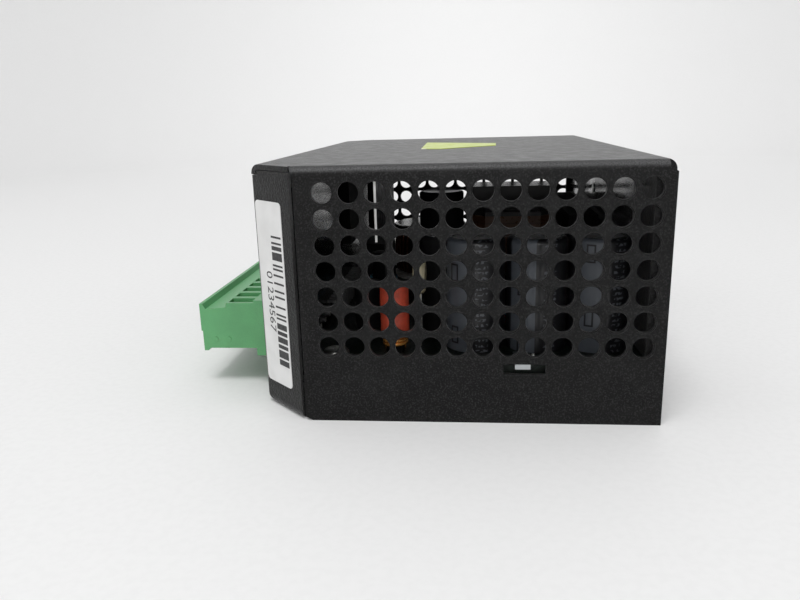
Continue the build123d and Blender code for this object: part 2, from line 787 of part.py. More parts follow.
def barcode_label():
    """A thin label on the chamfer at the -Y end, nearer its front edge, with rounded corners."""
    label_start = 0.75
    label_width = 9.8
    middle = Plane(
        origin=((front_x + seam_x) / 2, -(corner_y + end_y) / 2, case_width / 2 - 0.7),
        x_dir=(1, -1, 0),
        z_dir=(-1, -1, 0),
    )
    offset = label_start + label_width / 2 - corner_leg / math.sqrt(2)
    outline = fillet((Pos(offset, 0) * Rectangle(label_width, 38.1)).vertices(), 1.0)
    return extrude(middle * outline, label_t)


def side_sticker():
    """A six-sided sticker on the upper panel."""
    outline = Polyline((-3.5, -10), (1.4, -12), (11, -3.7), (15.5, -0.6), (16, 12), (-4, 26), close=True)
    return extrude(Plane.XY.offset(case_width) * make_face(outline), label_t)


def rail_foot():
    """Foot plate with the fixed hook and the channel that guides the latch."""
    z = (latch_mid_z - foot_half_width, latch_mid_z + foot_half_width)
    foot = box((wall_x, rail_x), foot_y, z)
    foot += box((wall_x, foot_out_x), (foot_y[0], hook_floor_y), z)
    foot += box((nose_x, foot_out_x), (hook_floor_y - 1, hook_tip_y), z)
    foot = chamfer(foot.edges().filter_by(Axis.Z).group_by(Axis.X)[-1].sort_by(Axis.Y)[-1:], 1.2)
    floor_x = wall_x + 1.8
    foot -= box((floor_x, floor_x + 1.4), (-6.0, foot_y[1] + 1), (latch_mid_z - 8.6, latch_mid_z + 8.6))
    foot -= box((floor_x + 1.3, rail_x + 1), (-6.0, foot_y[1] + 1), (latch_mid_z - 7.1, latch_mid_z + 7.1))
    foot += box((floor_x - 0.5, rail_x - 0.4), (12.0, 13.4), (latch_mid_z - 2.0, latch_mid_z + 2.0))
    for y, screw_z in foot_screw_places:
        foot -= rod(1.6, (wall_x - 1, y, screw_z), rail_x + 1, "x")
        foot -= Pos(rail_x - 0.8, y, screw_z) * Rot(0, 90, 0) * Cone(1.5, 3.1, 1.6)
    return foot


def rail_latch():
    """Sliding latch: guided plate, window for the spring, hooked nose and a pull tab."""
    floor_x = wall_x + 1.9
    latch = box((floor_x, floor_x + 1.2), (2.0, 24.0), (latch_mid_z - 8.4, latch_mid_z + 8.4))
    latch += box((floor_x, rail_x - 0.2), (2.0, 33.0), (latch_mid_z - 6.9, latch_mid_z + 6.9))
    latch += box((floor_x, foot_out_x), (latch_face_y, 22.0), (latch_mid_z - 6.9, latch_mid_z + 6.9))
    latch += box((nose_x, foot_out_x), (latch_tip_y, 22.0), (latch_mid_z - 6.9, latch_mid_z + 6.9))
    latch = chamfer(latch.edges().filter_by(Axis.Z).group_by(Axis.X)[-1].sort_by(Axis.Y)[:1], 1.2)
    latch -= box((floor_x - 1, rail_x + 0.05), (3.4, 13.6), (latch_mid_z - 2.6, latch_mid_z + 2.6))
    latch -= box((floor_x - 1, rail_x + 1), (27.5, 29.5), (latch_mid_z - 4.0, latch_mid_z + 4.0))
    return latch


def latch_spring():
    """Compression spring between the latch's window and the foot's post, drawn as a tube of rings."""
    x = (wall_x + 1.9 + rail_x - 0.2) / 2
    spring = rod(1.35, (x, 3.5, latch_mid_z), 11.9, "y") - rod(0.9, (x, 3.0, latch_mid_z), 13.0, "y")
    groove = Rot(90, 0, 0) * (Cylinder(2, 0.45) - Cylinder(1.15, 1))
    for step in range(6):
        spring -= Pos(x, 4.5 + 1.25 * step, latch_mid_z) * groove
    return spring


def foot_screws():
    screws = []
    for y, z in foot_screw_places:
        screw = rod(1.2, (rail_x - 0.3, y, z), wall_x - sheet - 0.3, "x")
        screw += Pos(rail_x - 0.9, y, z) * Rot(0, 90, 0) * Cone(1.25, 2.8, 1.4)
        for size in ((1.6, 3.0, 0.6), (1.6, 0.6, 3.0)):
            screw -= Pos(rail_x - 0.3, y, z) * Box(*size)
        screws.append(screw)
    return group(screws)


def make_parts():
    """Every node's name with the function call that builds it."""
    parts = {
        "cover": cover(),
        "base_tray": base_tray(),
        "barcode_label": barcode_label(),
        "side_sticker": side_sticker(),
        "rail_foot": rail_foot(),
        "rail_latch": rail_latch(),
        "latch_spring": latch_spring(),
        "foot_screws": foot_screws(),
        "main_board": main_board(),
        "board_standoffs": board_standoffs(),
        "pan_head_screws": pan_head_screws(),
        "insulating_sheet": insulating_sheet(),
        "earth_tabs": earth_tabs(),
        "front_board": front_board(),
        "header_pins": header_pins(),
        "board_link_pins": board_link_pins(),
        "status_led": led(),
        "light_pipe": light_pipe(),
        "trimmer_body": trimmer_body(),
        "trimmer_rotor": trimmer_rotor(),
        "reservoir_capacitor_can": bulk_can(),
        "reservoir_capacitor_sleeve": bulk_sleeve(),
        "transformer_core": transformer_core(),
        "transformer_bobbin": transformer_bobbin(),
        "transformer_winding": transformer_winding(),
        "transformer_tape": transformer_tape(),
        "rod_choke_core": choke_core(),
        "rod_choke_winding": choke_winding(),
        "rod_choke_sleeve": choke_sleeve(),
        "mains_choke_core": mains_choke_core(),
        "mains_choke_windings": mains_choke_windings(),
        "mains_choke_base": mains_choke_base(),
        "suppression_capacitor": box_capacitor(),
        "disc_capacitor": disc_part(-2.0, -45.0, board_top + 14.75, 3.8, 2.7, 2.5),
        "varistor": disc_part(-8.5, 47.5, board_top + 8.0, 6.0, 4.2, 3.75),
        "thermistor": disc_part(2.5, 47.5, board_top + 7.5, 5.5, 4.6, 3.75),
        "small_capacitors": small_capacitors(),
        "mains_fuse": fuse(),
        "fuse_clips": fuse_clips(),
        "bridge_rectifier": bridge_rectifier(),
        "heat_sink": heat_sink(),
        "power_transistors": power_transistors(),
        "thermal_pad": thermal_pad(),
        "shield_plate": shield_plate(),
        "chips": chips(),
        "resistors": resistors(),
    }
    for number, (x, y) in enumerate(cap_places, 1):
        parts[f"output_capacitor_{number}_can"] = output_can(x, y)
        parts[f"output_capacitor_{number}_sleeve"] = output_sleeve(x, y)
    for name, y, poles in (("output", output_y, output_poles), ("input", input_y, input_poles)):
        parts[f"{name}_plug"] = plug_housing(y, poles)
        parts[f"{name}_plug_contacts"] = plug_contacts(y, poles)
        parts[f"{name}_plug_springs"] = plug_springs(y, poles)
        parts[f"{name}_header"] = header_housing(y, poles)
    return parts


os.makedirs("parts", exist_ok=True)
for node, shape in make_parts().items():
    export_step(shape, f"parts/{node}.step")
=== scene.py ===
import math

import bmesh
import bpy
from mathutils import Matrix, Vector


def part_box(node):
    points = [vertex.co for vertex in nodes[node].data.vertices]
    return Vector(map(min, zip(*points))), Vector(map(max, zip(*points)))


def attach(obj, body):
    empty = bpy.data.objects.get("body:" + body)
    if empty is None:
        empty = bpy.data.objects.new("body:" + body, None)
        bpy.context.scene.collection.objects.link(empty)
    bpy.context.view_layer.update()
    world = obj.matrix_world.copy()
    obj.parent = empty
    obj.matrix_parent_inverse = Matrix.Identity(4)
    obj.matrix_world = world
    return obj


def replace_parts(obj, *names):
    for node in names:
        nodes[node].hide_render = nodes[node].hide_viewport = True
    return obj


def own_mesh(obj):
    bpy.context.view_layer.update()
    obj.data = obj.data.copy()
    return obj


# Looks for a DIN rail power supply that lies on one broad side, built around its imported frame.
# Places and sizes are in metres and come from the frame; texture sizes are in millimetres.

MM = 0.001

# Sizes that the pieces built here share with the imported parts, in millimetres
VENT_PITCH = 5.0
VENT_COLUMNS = 13
VENT_ROWS = 7
VENT_LAST_COLUMN_X = 41.15
VENT_LOWEST_ROW_Z = 15.7
TERMINAL_PITCH = 5.08
TERMINAL_ROWS = ((-42.0, 10), (21.5, 4))
HEADER_PIN_Z = 13.1
BOARD_FACE_Z = 11.1
LEAD_Y = -58.0

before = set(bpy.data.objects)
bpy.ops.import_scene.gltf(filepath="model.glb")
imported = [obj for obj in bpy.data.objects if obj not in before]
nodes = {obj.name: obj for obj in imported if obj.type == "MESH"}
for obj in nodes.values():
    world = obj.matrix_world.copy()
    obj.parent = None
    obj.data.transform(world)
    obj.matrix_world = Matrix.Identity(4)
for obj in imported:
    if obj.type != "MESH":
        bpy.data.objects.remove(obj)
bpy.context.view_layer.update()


# ---------------------------------------------------------------- materials


class Shader:
    """One Principled material and short ways to add the nodes that feed it."""

    def __init__(self, name, **settings):
        self.material = bpy.data.materials.new(name)
        self.material.use_nodes = True
        self.tree = self.material.node_tree
        self.bsdf = self.tree.nodes["Principled BSDF"]
        for socket, value in settings.items():
            self.bsdf.inputs[socket.replace("_", " ")].default_value = value
        place = self.tree.nodes.new("ShaderNodeTexCoord").outputs["Object"]
        self.place = self.vector("MULTIPLY", place, (1 / MM,) * 3)

    def add(self, kind, output=0, values=(), **properties):
        node = self.tree.nodes.new(kind)
        for key, value in properties.items():
            setattr(node, key, value)
        for socket, value in dict(values).items():
            self.feed(node.inputs[socket], value)
        return node.outputs[output]

    def feed(self, socket, value):
        if isinstance(value, bpy.types.NodeSocket):
            self.tree.links.new(value, socket)
        else:
            socket.default_value = value

    def set(self, socket, value):
        self.feed(self.bsdf.inputs[socket], value)

    def vector(self, operation, a, b=(0, 0, 0)):
        return self.add("ShaderNodeVectorMath", 0, {0: a, 1: b}, operation=operation)

    def math(self, operation, a, b=0.0, c=0.0):
        return self.add("ShaderNodeMath", 0, {0: a, 1: b, 2: c}, operation=operation)

    def axes(self, place=None):
        """The X, Y and Z sockets of a place in millimetres."""
        node = self.tree.nodes.new("ShaderNodeSeparateXYZ")
        self.feed(node.inputs[0], place or self.place)
        return node.outputs[0], node.outputs[1], node.outputs[2]

    def noise(self, size, detail=2.0, roughness=0.5, stretch=(1, 1, 1)):
        """Noise with blobs of about that size in millimetres, stretched along the axes."""
        place = self.vector("MULTIPLY", self.place, [1 / s for s in stretch])
        values = {"Vector": place, "Scale": 1 / size, "Detail": detail, "Roughness": roughness}
        return self.add("ShaderNodeTexNoise", 0, values)

    def grains(self, size, feature="F1"):
        values = {"Vector": self.place, "Scale": 1 / size}
        return self.add("ShaderNodeTexVoronoi", 0, values, feature=feature)

    def between(self, value, low, high, to_low=0.0, to_high=1.0):
        """Maps low..high smoothly onto to_low..to_high."""
        values = {"Value": value, "From Min": low, "From Max": high, "To Min": to_low, "To Max": to_high}
        return self.add("ShaderNodeMapRange", 0, values, interpolation_type="SMOOTHSTEP")

    def band(self, value, low, high, soft):
        """1 where value lies between low and high, 0 outside."""
        rise = self.between(value, low - soft, low + soft)
        fall = self.between(value, high - soft, high + soft)
        return self.math("SUBTRACT", rise, fall)

    def mix(self, share, a, b):
        node = self.tree.nodes.new("ShaderNodeMix")
        node.data_type = "RGBA"
        for socket, value in ((0, share), (6, a), (7, b)):
            if isinstance(value, tuple):
                value = (*value, 1)
            self.feed(node.inputs[socket], value)
        return node.outputs[2]

    def below(self, value, limit, soft):
        """1 below the limit, 0 above limit + soft."""
        return self.between(value, limit, limit + soft, 1.0, 0.0)

    def both(self, a, b):
        """1 where both masks are 1."""
        return self.math("MULTIPLY", a, b)

    def facing(self):
        """The X, Y and Z sockets of the surface's outward direction."""
        return self.axes(self.add("ShaderNodeTexCoord", "Normal"))

    def colour(self, value):
        self.set("Base Color", value)

    def bump(self, height, depth, strength=1.0):
        """Bump from a 0..1 height that stands for depth in millimetres."""
        values = {"Height": height, "Distance": depth * MM, "Strength": strength}
        self.set("Normal", self.add("ShaderNodeBump", 0, values))


def shade(colour, factor):
    return tuple(min(1.0, channel * factor) for channel in colour)


def powder_coat(name, tray=False):
    """Matt black powder coat: fine pebbles, a soft bloom at grazing angles, dust, and upper bends coloured
    lighter grey as a painted highlight.

    The tray's inner back face is left as smooth rolled paint."""
    coat = Shader(name, Specular_IOR_Level=0.13, Sheen_Weight=0.15, Sheen_Roughness=0.35)
    pebbles = coat.grains(0.5, "SMOOTH_F1")
    fine = coat.noise(0.22, 3)
    height = coat.math("MULTIPLY_ADD", fine, 0.5, coat.math("MULTIPLY", pebbles, -0.9))
    dust = coat.between(coat.noise(7.0, 4), 0.45, 0.75)
    specks = coat.between(coat.noise(0.32, 2), 0.46, 0.72)
    body = coat.mix(dust, (0.0045, 0.0045, 0.0046), (0.0075, 0.0075, 0.0076))
    flat_colour = coat.mix(coat.math("MULTIPLY", specks, 0.9), body, (0.024, 0.024, 0.024))
    x, y, z = coat.axes()
    facing_x, _, facing_z = coat.facing()
    upper_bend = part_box("cover")[1].z / MM - 1.6
    # Painted highlight: where the upper bend tilts between side and top, the colour turns lighter grey for
    # the overhead light's reflection there. Fine noise breaks it up.
    highlight_breakup = coat.between(fine, 0.35, 0.65, 0.4, 1.0)
    bend_highlight = coat.both(coat.band(facing_z, 0.5, 0.93, 0.3), highlight_breakup)
    bend_highlight = coat.both(bend_highlight, coat.between(z, upper_bend, upper_bend + 0.2))
    coat.colour(coat.mix(bend_highlight, flat_colour, (0.095, 0.095, 0.097)))
    matt = coat.between(coat.noise(3.0, 3), 0.3, 0.7, 0.35, 0.45)
    if tray:
        inner = coat.both(coat.between(x, 43.0, 43.5), coat.below(facing_x, -0.9, 0.1))
        inner = coat.both(inner, coat.between(y, -38.0, -34.0))
        matt = coat.math("SUBTRACT", matt, coat.math("MULTIPLY", inner, 0.28))
        height = coat.both(height, coat.math("MULTIPLY_ADD", inner, -0.97, 1.0))
    coat.set("Roughness", matt)
    coat.bump(height, 0.07, 1.0)
    return coat.material


def label_stock():
    """White coated label paper, slightly uneven."""
    paper = Shader("label_stock", Specular_IOR_Level=0.4)
    tone = paper.between(paper.noise(5.0, 3), 0.3, 0.7)
    paper.colour(paper.mix(tone, (0.66, 0.66, 0.655), (0.73, 0.73, 0.725)))
    paper.set("Roughness", paper.between(paper.noise(1.2, 2), 0.3, 0.7, 0.38, 0.5))
    paper.bump(paper.noise(0.8, 3), 0.01, 0.5)
    return paper.material


def printing_ink(name, colour):
    """Matt ink with uneven density."""
    ink = Shader(name)
    ink.colour(ink.mix(ink.noise(0.4, 2), shade(colour, 0.7), shade(colour, 1.2)))
    ink.set("Roughness", ink.between(ink.noise(0.6, 2), 0.3, 0.7, 0.4, 0.6))
    return ink.material


def sticker_film():
    """Printed film: lime with one pale corner."""
    film = Shader("sticker_film", Specular_IOR_Level=0.5)
    x, y, _ = film.axes()
    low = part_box("side_sticker")[0] / MM
    along = film.math("MULTIPLY_ADD", x, 0.92, film.math("MULTIPLY", y, 0.38))
    corner = low.x * 0.92 + low.y * 0.38
    tip = film.between(along, corner + 2.0, corner + 2.4)
    lime = film.mix(film.noise(6.0, 2), (0.44, 0.53, 0.065), (0.50, 0.59, 0.09))
    film.colour(film.mix(tip, (0.78, 0.80, 0.62), lime))
    film.set("Roughness", film.between(film.noise(2.0, 2), 0.3, 0.7, 0.28, 0.4))
    film.bump(film.noise(1.5, 3), 0.015, 0.4)
    return film.material


def rolled_metal(name, colour, roughness, grain=(1, 1, 1), size=0.5, depth=0.01):
    """Bare metal whose fine marks run along one axis, with dull patches."""
    metal = Shader(name, Metallic=1.0)
    marks = metal.noise(size, 4, 0.6, grain)
    patches = metal.between(metal.noise(4.0, 4), 0.35, 0.7)
    bright = metal.mix(marks, shade(colour, 0.86), shade(colour, 1.06))
    metal.colour(metal.mix(metal.math("MULTIPLY", patches, 0.35), bright, shade(colour, 0.72)))
    varied = metal.math("MULTIPLY_ADD", marks, 0.12, metal.math("MULTIPLY", patches, 0.1))
    metal.set("Roughness", metal.math("ADD", varied, roughness))
    metal.bump(marks, depth, 0.6)
    return metal.material


def zinc_plate():
    """Zinc plating with its faint crystalline mottle."""
    zinc = Shader("zinc_plate", Metallic=1.0)
    spangle = zinc.grains(0.9)
    streaks = zinc.noise(0.3, 3, 0.6, (1, 6, 1))
    tone = zinc.math("MULTIPLY_ADD", spangle, 0.5, zinc.math("MULTIPLY", streaks, 0.5))
    zinc.colour(zinc.mix(tone, (0.50, 0.50, 0.47), (0.72, 0.73, 0.72)))
    zinc.set("Roughness", zinc.between(tone, 0.2, 0.8, 0.26, 0.42))
    zinc.bump(streaks, 0.008, 0.6)
    return zinc.material


def moulded(name, colour, roughness=0.45, grain=0.35, depth=0.02, specular=0.5, scatter=0.0):
    """Moulded plastic: faint flow marks, fine sparked texture, uneven gloss."""
    plastic = Shader(name, Specular_IOR_Level=specular, Subsurface_Weight=scatter, Subsurface_Scale=0.6 * MM)
    flow = plastic.noise(8.0, 4, 0.55, (1, 2.5, 1))
    sparks = plastic.noise(grain, 3)
    tone = plastic.math("MULTIPLY_ADD", flow, 0.7, plastic.math("MULTIPLY", sparks, 0.3))
    plastic.colour(plastic.mix(plastic.between(tone, 0.3, 0.7), shade(colour, 0.88), shade(colour, 1.1)))
    plastic.set("Roughness", plastic.between(flow, 0.3, 0.7, roughness - 0.05, roughness + 0.08))
    plastic.bump(sparks, depth, 0.5)
    return plastic.material


def dipped(name, colour, roughness=0.3):
    """Dipped resin: glossy, a little lumpy, darker where it is thin."""
    resin = Shader(name, Coat_Weight=0.3, Coat_Roughness=0.15)
    lumps = resin.noise(1.6, 3)
    resin.colour(resin.mix(resin.between(lumps, 0.3, 0.7), shade(colour, 0.8), shade(colour, 1.1)))
    resin.set("Roughness", resin.between(resin.noise(0.8, 2), 0.3, 0.7, roughness, roughness + 0.15))
    resin.bump(lumps, 0.12, 0.6)
    return resin.material


def dipped_disc():
    """Cream resin that ends in a ragged line on two tinned leads."""
    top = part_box("disc_capacitor")[1].z / MM
    disc = Shader("resin_cream", Coat_Weight=0.3, Coat_Roughness=0.15)
    _, _, z = disc.axes()
    lumps = disc.noise(1.6, 3)
    resin_end = top - 7.4
    resin = disc.between(disc.math("MULTIPLY_ADD", lumps, 0.8, z), resin_end, resin_end + 0.2)
    cream = disc.mix(disc.between(lumps, 0.3, 0.7), (0.64, 0.57, 0.38), (0.80, 0.72, 0.50))
    disc.colour(disc.mix(resin, (0.70, 0.70, 0.68), cream))
    disc.set("Metallic", disc.math("SUBTRACT", 1.0, resin))
    disc.set("Roughness", disc.between(disc.noise(0.8, 2), 0.3, 0.7, 0.28, 0.42))
    disc.bump(lumps, 0.12, 0.6)
    return disc.material


def solder_mask(name, roughness):
    """Very dark green solder mask over copper tracks."""
    mask = Shader(name, Specular_IOR_Level=0.35)
    values = {"Vector": mask.place, "Scale": 1 / 6.0}
    cells = mask.add("ShaderNodeTexVoronoi", 0, values, distance="MANHATTAN")
    tracks = mask.between(mask.math("PINGPONG", cells, 0.13), 0.055, 0.065)
    weave = mask.noise(0.5, 2, 0.5, (1, 3, 1))
    copper_side = mask.mix(weave, (0.004, 0.009, 0.006), (0.006, 0.012, 0.008))
    open_side = mask.mix(weave, (0.002, 0.004, 0.003), (0.003, 0.006, 0.004))
    mask.colour(mask.mix(tracks, open_side, copper_side))
    mask.set("Roughness", mask.between(weave, 0.3, 0.7, roughness, roughness + 0.1))
    mask.bump(tracks, 0.035, 0.8)
    return mask.material


def filmed_plate():
    """Thin tinned plate under black film that leaves bare metal along the edge towards the vents."""
    plate = Shader("filmed_plate", Specular_IOR_Level=0.15)
    _, y, _ = plate.axes()
    _, facing_y, _ = plate.facing()
    edge = plate.both(plate.below(y, -50.0, 1.0), plate.below(facing_y, -0.9, 0.2))
    scuffs = plate.noise(1.5, 4)
    metal = plate.mix(scuffs, (0.72, 0.72, 0.70), (0.86, 0.86, 0.84))
    film = plate.mix(scuffs, (0.006, 0.006, 0.006), (0.010, 0.010, 0.010))
    plate.colour(plate.mix(edge, film, metal))
    plate.set("Metallic", edge)
    plate.set("Roughness", plate.between(scuffs, 0.3, 0.7, 0.35, 0.55))
    plate.bump(scuffs, 0.02, 0.5)
    return plate.material


def clear_film():
    """Milky clear sheet with uneven gloss."""
    film = Shader("clear_film", Transmission_Weight=0.6, Alpha=0.75, IOR=1.45)
    film.colour(film.mix(film.noise(9.0, 3), (0.78, 0.78, 0.72), (0.88, 0.88, 0.83)))
    film.set("Roughness", film.between(film.noise(3.0, 3), 0.3, 0.7, 0.2, 0.4))
    film.bump(film.noise(12.0, 2), 0.2, 0.3)
    return film.material


def clear_moulding(name, colour, transmission=0.85):
    """Clear or tinted plastic with faint swirls inside."""
    clear = Shader(name, Transmission_Weight=transmission, IOR=1.52)
    swirls = clear.noise(0.9, 3, 0.6)
    clear.colour(clear.mix(swirls, shade(colour, 0.9), shade(colour, 1.05)))
    clear.set("Roughness", clear.between(swirls, 0.3, 0.7, 0.08, 0.2))
    clear.bump(swirls, 0.02, 0.4)
    return clear.material


def capacitor_sleeve(name, centre, stripe_angle, radius, mark_z):
    """Black shrunk sleeve with a grey-blue stripe that carries upright marks, and faint small print.

    The stripe's angle is in degrees from -Y towards -X, seen from above. One mark is centred at mark_z."""
    sleeve = Shader(name, Coat_Weight=0.25, Coat_Roughness=0.14)
    place = sleeve.vector("SUBTRACT", sleeve.place, (centre.x / MM, centre.y / MM, 0))
    x, y, z = sleeve.axes(place)
    turn = math.radians(stripe_angle)
    facing = (-math.sin(turn), -math.cos(turn))
    ahead = sleeve.math("MULTIPLY_ADD", x, facing[0], sleeve.math("MULTIPLY", y, facing[1]))
    across = sleeve.math("MULTIPLY_ADD", x, -facing[1], sleeve.math("MULTIPLY", y, facing[0]))
    half = math.sin(math.radians(27)) * radius / MM
    front = sleeve.between(ahead, 0.0, 0.1)
    stripe = sleeve.both(sleeve.band(across, -half, half, 0.08), front)
    step = sleeve.math("PINGPONG", sleeve.math("SUBTRACT", z, mark_z), 6.6)
    block = sleeve.both(sleeve.band(across, -0.95, 0.95, 0.07), sleeve.below(step, 1.8, 0.14))
    hole = sleeve.both(sleeve.band(across, -0.60, 0.60, 0.07), sleeve.below(step, 1.44, 0.14))
    mark = sleeve.both(sleeve.math("SUBTRACT", block, hole), front)
    print_x = sleeve.band(across, half + 1.4, half + 2.9, 0.08)
    print_z = sleeve.between(sleeve.math("PINGPONG", z, 0.55), 0.2, 0.32)
    strokes = sleeve.between(sleeve.noise(0.55, 0), 0.48, 0.6)
    small_print = sleeve.both(sleeve.both(sleeve.both(print_x, print_z), strokes), front)
    film = sleeve.mix(sleeve.noise(2.0, 2), (0.006, 0.006, 0.007), (0.011, 0.011, 0.013))
    striped = sleeve.mix(stripe, film, (0.100, 0.112, 0.130))
    marked = sleeve.mix(mark, striped, (0.004, 0.004, 0.005))
    sleeve.colour(sleeve.mix(sleeve.math("MULTIPLY", small_print, 0.8), marked, (0.16, 0.17, 0.19)))
    sleeve.set("Roughness", sleeve.between(sleeve.noise(1.5, 3), 0.3, 0.7, 0.30, 0.42))
    sleeve.bump(sleeve.noise(2.5, 3), 0.03, 0.4)
    return sleeve.material


def enamelled_copper(name, colour):
    """Copper wire under amber enamel, with shade variation along the wire."""
    wire = Shader(name, Metallic=0.7, Coat_Weight=0.6, Coat_Roughness=0.08)
    drift = wire.noise(1.4, 3)
    wire.colour(wire.mix(wire.between(drift, 0.3, 0.7), shade(colour, 0.8), shade(colour, 1.12)))
    wire.set("Roughness", wire.between(wire.noise(0.4, 2), 0.3, 0.7, 0.12, 0.22))
    wire.bump(wire.noise(0.5, 2), 0.01, 0.4)
    return wire.material


def pressed_ferrite():
    """Black ground ferrite with fine pores."""
    ferrite = Shader("pressed_ferrite", Specular_IOR_Level=0.2)
    pores = ferrite.noise(0.25, 4, 0.7)
    ferrite.colour(ferrite.mix(pores, (0.005, 0.005, 0.005), (0.014, 0.0135, 0.013)))
    ferrite.set("Roughness", ferrite.between(pores, 0.3, 0.7, 0.13, 0.22))
    ferrite.bump(pores, 0.015, 0.4)
    return ferrite.material


def wound_tape():
    """Brown polyester tape in overlapping layers."""
    tape = Shader("wound_tape", Coat_Weight=0.5, Coat_Roughness=0.12)
    _, _, z = tape.axes()
    layers = tape.math("PINGPONG", tape.math("MULTIPLY_ADD", tape.noise(3.0, 1), 0.3, z), 1.6)
    edge = tape.between(layers, 0.05, 0.15)
    tape.colour(tape.mix(edge, (0.045, 0.018, 0.008), (0.085, 0.038, 0.017)))
    tape.set("Roughness", tape.between(tape.noise(1.0, 2), 0.3, 0.7, 0.25, 0.4))
    tape.bump(edge, 0.05, 0.6)
    return tape.material


def fuse_tube():
    """Ceramic tube between two bright end caps."""
    low, high = (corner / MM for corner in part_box("mains_fuse"))
    cap = 5.0
    fuse = Shader("fuse_tube")
    _, y, _ = fuse.axes()
    ceramic = fuse.band(y, low.y + cap, high.y - cap, 0.05)
    glaze = fuse.mix(fuse.noise(2.0, 3), (0.72, 0.70, 0.64), (0.82, 0.80, 0.75))
    fuse.colour(fuse.mix(ceramic, (0.74, 0.73, 0.70), glaze))
    fuse.set("Metallic", fuse.math("SUBTRACT", 1.0, ceramic))
    fuse.set("Roughness", fuse.between(fuse.noise(0.7, 3), 0.3, 0.7, 0.22, 0.4))
    fuse.bump(ceramic, 0.1, 0.6)
    return fuse.material


def banded_resistors():
    """Lacquered bodies with a few coloured rings across them."""
    lacquer = Shader("banded_resistors", Coat_Weight=0.4, Coat_Roughness=0.15)
    x, y, _ = lacquer.axes()
    rings = lacquer.math("PINGPONG", lacquer.math("ADD", x, y), 0.65)
    ring = lacquer.between(rings, 0.42, 0.46)
    hue = lacquer.between(lacquer.noise(1.5, 0), 0.4, 0.6)
    paint = lacquer.mix(hue, (0.30, 0.05, 0.03), (0.02, 0.02, 0.02))
    lacquer.colour(lacquer.mix(ring, (0.10, 0.27, 0.38), paint))
    lacquer.set("Roughness", lacquer.between(lacquer.noise(0.6, 2), 0.3, 0.7, 0.3, 0.45))
    lacquer.bump(lacquer.noise(1.0, 2), 0.04, 0.5)
    return lacquer.material


def floor_sweep():
    """Pale studio sweep with a faint paper grain."""
    sweep = Shader("floor_sweep", Specular_IOR_Level=0.3)
    grain = sweep.between(sweep.noise(1.5, 3), 0.35, 0.7)
    sweep.colour(sweep.mix(grain, (0.792, 0.792, 0.792), (0.776, 0.776, 0.776)))
    sweep.set("Roughness", sweep.between(grain, 0.0, 1.0, 0.52, 0.6))
    return sweep.material


GREEN = (0.104, 0.335, 0.137)

coat = powder_coat("powder_coat")
tinned = rolled_metal("tinned_metal", (0.80, 0.80, 0.78), 0.22)
solder = rolled_metal("dull_solder", (0.20, 0.20, 0.20), 0.5)
matt_black = moulded("matt_black", (0.010, 0.010, 0.010), 0.8, specular=0.05)
plug_green = moulded("terminal_green", GREEN, 0.38, 0.3, 0.015, scatter=0.08)
can_metal = rolled_metal("can_aluminium", (0.80, 0.80, 0.81), 0.25, (4, 4, 1))
copper = enamelled_copper("enamelled_copper", (0.95, 0.42, 0.10))
dark_copper = enamelled_copper("dark_enamelled_copper", (0.12, 0.04, 0.02))
clip_metal = rolled_metal("contact_alloy", (0.80, 0.58, 0.40), 0.25, (6, 1, 1))
spring_steel = rolled_metal("spring_steel", (0.58, 0.58, 0.60), 0.24, (1, 6, 1))
zinc = zinc_plate()
ferrite = pressed_ferrite()

finishes = {
    "cover": coat,
    "base_tray": powder_coat("tray_coat", tray=True),
    "barcode_label": label_stock(),
    "side_sticker": sticker_film(),
    "rail_foot": rolled_metal("extruded_aluminium", (0.74, 0.74, 0.75), 0.30, (1, 1, 14), 0.4, 0.02),
    "rail_latch": zinc,
    "latch_spring": spring_steel,
    "foot_screws": zinc,
    "pan_head_screws": zinc,
    "main_board": solder_mask("main_board_mask", 0.42),
    "front_board": solder_mask("front_board_mask", 0.16),
    "board_standoffs": rolled_metal("turned_brass", (0.78, 0.60, 0.30), 0.22, (1, 1, 0.3), 0.4),
    "insulating_sheet": clear_film(),
    "earth_tabs": rolled_metal("tab_metal", (0.42, 0.44, 0.45), 0.28, (4, 1, 1)),
    "header_pins": tinned,
    "board_link_pins": solder,
    "fuse_clips": tinned,
    "shield_plate": filmed_plate(),
    "status_led": clear_moulding("tinted_epoxy", (0.10, 0.75, 0.20), 0.6),
    "light_pipe": clear_moulding("clear_polycarbonate", (0.92, 0.94, 0.94)),
    "trimmer_body": moulded("trimmer_blue", (0.03, 0.12, 0.50), 0.3),
    "trimmer_rotor": moulded("trimmer_white", (0.76, 0.76, 0.70), 0.4),
    "reservoir_capacitor_can": can_metal,
    "transformer_core": ferrite,
    "mains_choke_core": ferrite,
    "rod_choke_core": ferrite,
    "transformer_bobbin": moulded("phenolic_black", (0.02, 0.019, 0.018), 0.5),
    "transformer_winding": dark_copper,
    "transformer_tape": wound_tape(),
    "rod_choke_winding": copper,
    "mains_choke_windings": dark_copper,
    "rod_choke_sleeve": dipped("brick_sleeve", (0.68, 0.09, 0.045), 0.4),
    "mains_choke_base": moulded("choke_white", (0.74, 0.74, 0.70)),
    "suppression_capacitor": moulded("capacitor_black", (0.016, 0.016, 0.017), 0.75, specular=0.1),
    "disc_capacitor": dipped_disc(),
    "varistor": dipped("resin_blue", (0.03, 0.12, 0.42)),
    "thermistor": dipped("resin_dark", (0.04, 0.06, 0.04)),
    "mains_fuse": fuse_tube(),
    "bridge_rectifier": moulded("epoxy_black", (0.02, 0.02, 0.021), 0.4),
    "heat_sink": rolled_metal("anodised_aluminium", (0.045, 0.045, 0.047), 0.5, (1, 12, 1), 0.5, 0.015),
    "thermal_pad": moulded("silicone_pad", (0.38, 0.40, 0.43), 0.7),
    "resistors": banded_resistors(),
}
for plain_black in ("power_transistors", "chips"):
    finishes[plain_black] = finishes["bridge_rectifier"]
